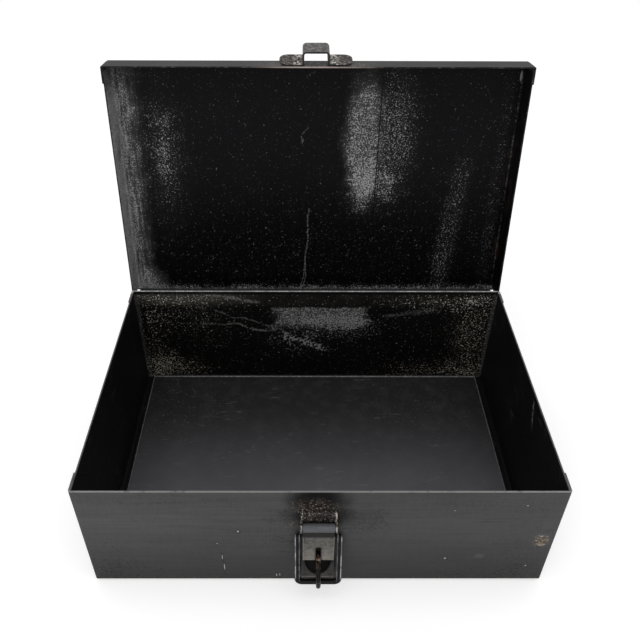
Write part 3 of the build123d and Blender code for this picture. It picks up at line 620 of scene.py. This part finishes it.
    def edge_wear(self, colour):
        """Cut edges: dark paint, worn pale and pinkish around the catch, with a halo on the flange."""
        outermost = self.fall(self.out, LID_EDGE_OUT + 0.3, LID_EDGE_OUT + 0.6)
        cut = self.facing(TOWARDS_LID_EDGE, 0.80, 0.95) * outermost
        by_catch = self.patch((-2.0, LID_TOP_UP), (38.0, 6.0), 0.5, 0.5)
        ragged = self.rise(self.noise(7.0, detail=3.0), 0.52, 0.62)
        halo = by_catch * (1.0 - self.inside) * (1.0 - cut) * self.fall(self.out, 8.0, 16.5)
        colour = self.mix(cut, colour, EDGE_PAINT)
        colour = self.mix(cut * ragged * 0.35, colour, EDGE_WORN)
        colour = self.mix(by_catch * cut * 0.95, colour, EDGE_PINK)
        colour = self.mix(halo * self.rise(self.grain, 0.46, 0.58) * 0.7, colour, HALO_PALE)
        colour = self.mix(halo * self.fall(self.grain, 0.42, 0.50) * 0.6, colour, HALO_DARK)
        return colour, cut * by_catch * 0.3

    def build(self):
        colour, pale = self.inside_coat()
        colour = self.mix(1.0 - self.inside, colour, self.outside_coat())
        colour, metal = self.edge_wear(colour)
        rough = 0.42 + self.mottle * 0.14 + pale * 0.45
        dents = self.noise(70.0, detail=1.0) * 2.0
        bumps = self.height + pale * self.grain * 0.9 + dents + self.wipes * (1.0 - self.inside) * 0.3
        return self.surface(colour, rough, metal, bumps, PAINT_BUMP, LID_SPECULAR)


# ---- Small fittings ----
HINGE_DARK, HINGE_PALE = (0.020, 0.020, 0.021), (0.12, 0.118, 0.115)
PIN_DARK, PIN_PALE = (0.10, 0.095, 0.09), (0.30, 0.29, 0.28)
BLACK = grey(0.0)


def worn_iron(name, dark, pale, rubbed, rust, rough_at):
    """Dark paint rubbed through to steel, with brown in the hollows."""
    f = Finish(name)
    patches = f.noise(5.0, detail=4.0, rough=0.62)
    grain = f.noise(1.2, detail=3.0, rough=0.65)
    streaks = f.noise(1.2, detail=2.0, stretch=(1.0, 1.0, 5.0))
    hollows = f.noise(3.4, detail=4.0, rough=0.6)
    rub = f.rise(patches * 0.7 + streaks * 0.3, 0.62 - rubbed * 0.2, 0.74 - rubbed * 0.2)
    brown = f.rise(hollows * 0.8 + grain * 0.2, 0.70 - rust * 0.3, 0.82 - rust * 0.3)
    colour = f.mix(rub, dark, pale)
    colour = f.mix(brown * 0.7, colour, RUST_DARK)
    colour = f.mix((grain - 0.5) * 0.8, colour, BLACK)
    rough = rough_at + patches * 0.16 + brown * 0.3 - rub * 0.08
    metal = (rub * 0.55 * (1.0 - brown)).clamp()
    bumps = grain * 0.5 + patches * 0.8 - brown * 0.5
    return f.surface(colour, rough, metal, bumps, IRON_BUMP, PLAIN_SPECULAR)


LEVER_DARK, LEVER_PALE = (0.018, 0.016, 0.015), (0.262, 0.245, 0.220)
# the roll's painted shade and painted light
ROLL_SHADED, ROLL_LIT = (0.010, 0.010, 0.011), (0.105, 0.107, 0.116)
LEVER_SMUDGE, LEVER_GRIME = (0.022, 0.019, 0.017), (0.012, 0.010, 0.009)
LEVER_EDGE, LEVER_FOOT = (0.34, 0.30, 0.26), (0.32, 0.29, 0.26)
LEVER_SIDE, LEVER_CREASE_SHADE, SLOT_RUST = (0.010, 0.009, 0.009), (0.004, 0.0035, 0.0035), (0.030, 0.020, 0.015)


def lever_paint():
    """Thin grey paint over steel, paler low on the plate, with painted shade in its crease and painted light
    on the roll; the face is bare.
    """
    f = Finish("lever_paint")
    x, z = f.x - LATCH_X, f.z
    grain = f.noise(1.3, detail=4.0, rough=0.64)
    blots = f.noise(3.0, detail=3.0, rough=0.6, bend=0.4)
    brush = f.noise(1.0, detail=2.0, stretch=(6.0, 1.0, 1.0))
    plate = f.fall(z, 59.5, 61.5)
    roll = f.rise(z, 66.0, 67.6)
    crease_shade = (1.0 - plate) * (1.0 - roll)
    front = f.facing(TOWARDS_FRONT, 0.2, 0.7)
    low = f.rise(z, 36.0, 58.0, 1.0, 0.30)
    middle = f.rise(abs(x), 5.0, 10.0, 1.0, 0.55)
    smudge = f.blot(x, z, (0.0, 50.5), (7.6, 3.2), 0.5, blots, 1.2)
    edge = f.rise(abs(x), 9.2, 9.9) * plate
    foot = f.fall(z, 35.3, 36.6)
    slot_rim = f.fall(abs(x), 1.9, 3.0) * f.fall(z, 49.0, 51.5)
    tone = (0.10 + low * middle * 0.62 + (blots - 0.5) * 0.9 + (grain - 0.5) * 0.5).clamp()
    # painted light on the roll: dark underneath, paler towards its top
    roll_light = (f.rise(z, 66.0, 70.5) * (0.5 + brush * 0.7)).clamp()
    colour = f.mix(tone, LEVER_DARK, LEVER_PALE)
    colour = f.mix(smudge * f.fall(grain, 0.42, 0.50) * 0.45, colour, LEVER_SMUDGE)
    colour = f.mix(roll, colour, f.mix(roll_light, ROLL_SHADED, ROLL_LIT))
    # painted shade in the crease between the plate and the roll
    colour = f.mix(crease_shade * 0.92, colour, LEVER_CREASE_SHADE)
    colour = f.mix(edge * f.rise(grain, 0.40, 0.56) * 0.45, colour, LEVER_EDGE)
    colour = f.mix(foot * f.rise(grain, 0.44, 0.58) * 0.5, colour, LEVER_FOOT)
    colour = f.mix(slot_rim * 0.7, colour, SLOT_RUST)
    colour = f.mix((1.0 - front) * 0.6 * plate, colour, LEVER_SIDE)
    colour = f.mix(f.rise(grain, 0.60, 0.68) * 0.45, colour, LEVER_GRIME)
    rough = 0.34 + blots * 0.22 + (1.0 - low) * 0.05
    metal = (tone * front * plate * 0.45).clamp()
    bumps = grain * 0.5 + blots * 0.9 - smudge * blots * 0.8
    return f.surface(colour, rough, metal, bumps, IRON_BUMP, IRON_SPECULAR)


LATCH_BLACK, LATCH_DARK, LATCH_GREY = (0.003, 0.0028, 0.0028), (0.012, 0.011, 0.011), (0.060, 0.055, 0.050)
LATCH_RUST, LATCH_CRUMB, LATCH_FOOT = (0.085, 0.062, 0.052), (0.36, 0.32, 0.29), (0.22, 0.20, 0.18)


def latch_iron():
    """Latch plate and ears: rusted and worn at the top, black in the pan."""
    f = Finish("latch_iron")
    x, z = f.x - LATCH_X, f.z
    grain = f.noise(1.6, detail=4.0, rough=0.66)
    patches = f.noise(4.0, detail=3.0)
    net = f.noise(2.0, detail=3.0, rough=0.6, bend=0.8)
    crumbs = f.rise(f.noise(1.25, detail=2.0, rough=0.6), 0.585, 0.65)
    high = f.rise(z, 66.0, 72.0)
    low = f.fall(z, 8.0, 34.0)
    foot = f.fall(z, 6.4, 7.2)
    ears = f.rise(abs(x), 9.6, 10.4) * high
    rusty = f.rise(net * 0.7 + patches * 0.3, 0.50, 0.57)
    colour = f.mix(patches * 0.8, LATCH_BLACK, LATCH_DARK)
    colour = f.mix(low * (0.35 + patches * 0.5), colour, LATCH_GREY)
    colour = f.mix(rusty * high * 0.55, colour, LATCH_RUST)
    colour = f.mix(crumbs * high * 0.55, colour, LATCH_CRUMB)
    colour = f.mix(ears * f.rise(grain, 0.48, 0.58) * 0.85, colour, BARE_STEEL)
    colour = f.mix(foot * 0.6, colour, LATCH_FOOT)
    rough = 0.5 + patches * 0.2 + rusty * 0.15
    return f.surface(colour, rough, (ears * 0.3).clamp(), grain * 0.9 + patches, PAINT_BUMP, IRON_SPECULAR)


BRIDGE_DARK, BRIDGE_PALE, BRIDGE_NET = (0.018, 0.017, 0.016), (0.195, 0.186, 0.176), (0.012, 0.010, 0.009)
EAR_DARK, EAR_PALE = (0.012, 0.009, 0.008), (0.19, 0.165, 0.148)
BEND_STEEL, CUT_BLACK, CATCH_GRIME = (0.62, 0.57, 0.52), (0.005, 0.0045, 0.0045), (0.015, 0.011, 0.009)


def catch_iron():
    """Catch strap: brownish black ears, a grey bridge, black cut edges and bare metal at the bends."""
    f = Finish("catch_iron")
    off = abs(f.x - CATCH_X)
    grain = f.noise(1.4, detail=4.0, rough=0.66)
    patches = f.noise(3.6, detail=3.0)
    net = f.noise(2.2, detail=3.0, rough=0.6, bend=0.8)
    ears = f.rise(off, 9.6, 10.6)
    bend = f.within(off, 10.6, 16.0, 1.2)
    pitted = f.rise(net * 0.7 + patches * 0.3, 0.50, 0.58)
    near_edge = f.facing(TOWARDS_LID_EDGE, 0.70, 0.92)
    tone = (0.42 + (patches - 0.5) * 3.0 + (grain - 0.5) * 2.4 - f.rise(off, 6.0, 9.5) * 0.25).clamp()
    colour = f.mix(tone, BRIDGE_DARK, BRIDGE_PALE)
    colour = f.mix(f.rise(net, 0.50, 0.60) * 0.70, colour, BRIDGE_NET)
    colour = f.mix(ears, colour, f.mix(pitted, EAR_DARK, EAR_PALE))
    colour = f.mix((bend * f.rise(net, 0.47, 0.56)).clamp(), colour, BEND_STEEL)
    colour = f.mix(near_edge * 0.93, colour, CUT_BLACK)
    colour = f.mix(f.rise(grain, 0.60, 0.70) * 0.5, colour, CATCH_GRIME)
    rough = 0.36 + patches * 0.18 + ears * 0.12
    bumps = (grain + patches) * 0.9
    return f.surface(colour, rough, (bend * 0.4).clamp(), bumps, CATCH_BUMP, CATCH_SPECULAR)


RING_DARK, RING_PALE = (0.0030, 0.0030, 0.0034), (0.010, 0.010, 0.011)
RING_WORN, RUST_PINK = (0.40, 0.40, 0.42), (0.17, 0.125, 0.11)


def ring_iron():
    """Latch ring: glossy black paint worn to grey along its rounded edges."""
    f = Finish("ring_iron")
    off = abs(f.x - LATCH_X)
    grain = f.noise(1.2, detail=3.0, rough=0.62)
    patches = f.noise(6.0, detail=3.0)
    outer = f.within(off, 14.45, 15.1, 0.2)
    inner = f.within(off, 12.0, 12.5, 0.2)
    foot = f.fall(f.z, 18.0, 24.0)
    rub = f.rise(patches, 0.44, 0.58)
    worn = ((outer * 0.9 + inner * 0.5) * (0.40 + rub * 0.6) * (1.0 - foot * 0.9)).clamp()
    colour = f.mix(patches, RING_DARK, RING_PALE)
    colour = f.mix(worn, colour, RING_WORN)
    colour = f.mix(f.rise(grain, 0.62, 0.70) * 0.35, colour, RUST_PINK)
    rough = 0.26 + patches * 0.16 + rub * 0.08
    metal = (outer * 0.4 * (1.0 - foot)).clamp()
    return f.surface(colour, rough, metal, grain * 0.5 + patches * 0.8, GLOSS_BUMP, GLOSS_SPECULAR)


EYE_DARK, EYE_PALE = (0.0035, 0.0032, 0.0032), (0.014, 0.013, 0.013)
EYE_BROWN, EYE_GLINT_STEEL = (0.26, 0.13, 0.075), (0.52, 0.44, 0.38)


def eye_wire():
    """Padlock eye: dark wire rubbed brown where a padlock hung, with bright spots that are painted glints on
    rubbed bare steel.
    """
    f = Finish("eye_wire")
    grain = f.noise(1.2, detail=3.0, rough=0.62)
    patches = f.noise(3.2, detail=3.0)
    glint_and_wear_spots = f.rise(f.noise(2.4, detail=2.0), 0.56, 0.62)
    upper = f.rise(f.z, 33.0, 36.0) * f.within(FRONT_Y - f.y, 5.0, 11.0, 1.5)
    worn = f.rise(patches, 0.44, 0.60) * upper
    colour = f.mix(patches, EYE_DARK, EYE_PALE)
    colour = f.mix(worn * 0.75, colour, EYE_BROWN)
    # painted glints, also made metallic like rubbed bare steel, most of them on the top
    colour = f.mix((glint_and_wear_spots * (0.10 + upper * 0.6)).clamp(), colour, EYE_GLINT_STEEL)
    rough = 0.22 + patches * 0.2
    metal = (glint_and_wear_spots * upper * 0.5).clamp()
    return f.surface(colour, rough, metal, grain * 0.5 + patches * 0.7, GLOSS_BUMP, GLOSS_SPECULAR)


# ---- Which finish each node wears ----
def dress():
    box = BoxPaint().build()
    lid = LidPaint().build()
    hinge = worn_iron("hinge_iron", HINGE_DARK, HINGE_PALE, 0.45, 0.35, 0.45)
    steel = worn_iron("pin_steel", PIN_DARK, PIN_PALE, 0.7, 0.45, 0.36)
    latch = latch_iron()
    wears = {
        "base_shell": box, "side_panel_left": box, "side_panel_right": box, "hinge_base_rivets": box,
        "lid_tray": lid, "hinge_lid_rivets": lid, "catch_strap": catch_iron(), "catch_rivets": steel,
        "latch_plate": latch, "latch_rivets": latch, "latch_lever": lever_paint(), "latch_pin": steel,
        "latch_ring": ring_iron(), "ring_pin": steel, "padlock_eye": eye_wire(),
    }
    for side in ("left", "right"):
        wears[f"hinge_base_leaf_{side}"] = hinge
        wears[f"hinge_lid_leaf_{side}"] = hinge
        wears[f"hinge_pin_{side}"] = steel
    for name, piece in frame["nodes"].items():
        for slot in piece.material_slots:
            slot.material = wears[name]


# ---- Floor, light and camera ----
FLOOR_REACH = 6.0
FLOOR_DROP = 0.0004
WHITE = (1.0, 1.0, 1.0, 1.0)
FLOOR_GREY = (0.80, 0.80, 0.80, 1.0)
FLOOR_GLOW = 0.42
SKY_LIGHT = 0.62
LAMP_WATTS = 9.0

# The camera as pitch, yaw and roll in radians, and focal length and centre in pixels of its frame.
PITCH, YAW, ROLL = 0.63273, 0.00495, 0.00450
FOCAL_PX, CENTRE_PX, FRAME_PX = 690.0, (305.99, 258.84), 640
SENSOR_MM = 36.0
EYE_PLACE = (-0.01061, -0.34877, 0.45890)


def ground():
    """A wide pale floor that stays white to the camera and keeps the box's shadow."""
    mesh = bpy.data.meshes.new("floor")
    corners = [(x * FLOOR_REACH, y * FLOOR_REACH, 0) for x, y in ((-1, -1), (1, -1), (1, 1), (-1, 1))]
    mesh.from_pydata(corners, [], [(0, 1, 2, 3)])
    floor = bpy.data.objects.new("floor", mesh)
    floor.location.z = -FLOOR_DROP
    bpy.context.collection.objects.link(floor)
    f = Finish("floor_white")
    matt = f.node("ShaderNodeBsdfDiffuse", {}, {"Color": FLOOR_GREY})
    glow = f.node("ShaderNodeEmission", {}, {"Color": WHITE, "Strength": FLOOR_GLOW})
    lifted = f.node("ShaderNodeAddShader", {}, {0: matt, 1: glow})
    floor.data.materials.append(f.close(f.node("ShaderNodeMixShader", {}, {0: f.seen(), 1: matt, 2: lifted})))


def sky():
    """White wherever the camera can see it, dimmer as a source of light."""
    world = bpy.data.worlds.new("studio")
    world.use_nodes = True
    n = Network(world.node_tree)
    soft, white = [n.node("ShaderNodeBackground", {}, {"Color": WHITE, "Strength": strength})
                   for strength in (SKY_LIGHT, 1.0)]
    n.node("ShaderNodeOutputWorld", {}, {
        "Surface": n.node("ShaderNodeMixShader", {}, {0: n.seen(), 1: soft, 2: white})})
    bpy.context.scene.world = world


def softbox(name, place, target, size):
    data = bpy.data.lights.new(name, "AREA")
    data.shape = "RECTANGLE"
    data.size, data.size_y = size
    data.energy = LAMP_WATTS
    lamp = bpy.data.objects.new(name, data)
    lamp.location = place
    lamp.rotation_euler = (Vector(target) - Vector(place)).to_track_quat("-Z", "Y").to_euler()
    bpy.context.collection.objects.link(lamp)


def camera():
    """Pinhole in front of the box, looking down into it."""
    ahead = Vector((math.sin(YAW) * math.cos(PITCH), math.cos(YAW) * math.cos(PITCH), -math.sin(PITCH)))
    right = Vector((math.cos(YAW), -math.sin(YAW), 0.0))
    up = right.cross(ahead)
    side = math.cos(ROLL) * right + math.sin(ROLL) * up
    top = -math.sin(ROLL) * right + math.cos(ROLL) * up
    data = bpy.data.cameras.new("camera")
    data.sensor_width = SENSOR_MM
    data.lens = FOCAL_PX / FRAME_PX * SENSOR_MM
    data.shift_x = (FRAME_PX / 2 - CENTRE_PX[0]) / FRAME_PX
    data.shift_y = (CENTRE_PX[1] - FRAME_PX / 2) / FRAME_PX
    data.clip_start = 0.01
    eye = bpy.data.objects.new("camera", data)
    turn = Matrix((side, top, -ahead)).transposed()
    eye.matrix_world = Matrix.Translation(EYE_PLACE) @ turn.to_4x4()
    bpy.context.collection.objects.link(eye)
    bpy.context.scene.camera = eye


dress()
ground()
sky()
softbox("overhead", (0.0, -0.3, 1.9), (0.0, 0.0, 0.05), (1.8, 1.4))
softbox("front_fill", (-0.7, -1.8, 0.9), (0.0, 0.0, 0.08), (1.4, 1.0))
camera()
bpy.context.scene.view_settings.view_transform = "Standard"
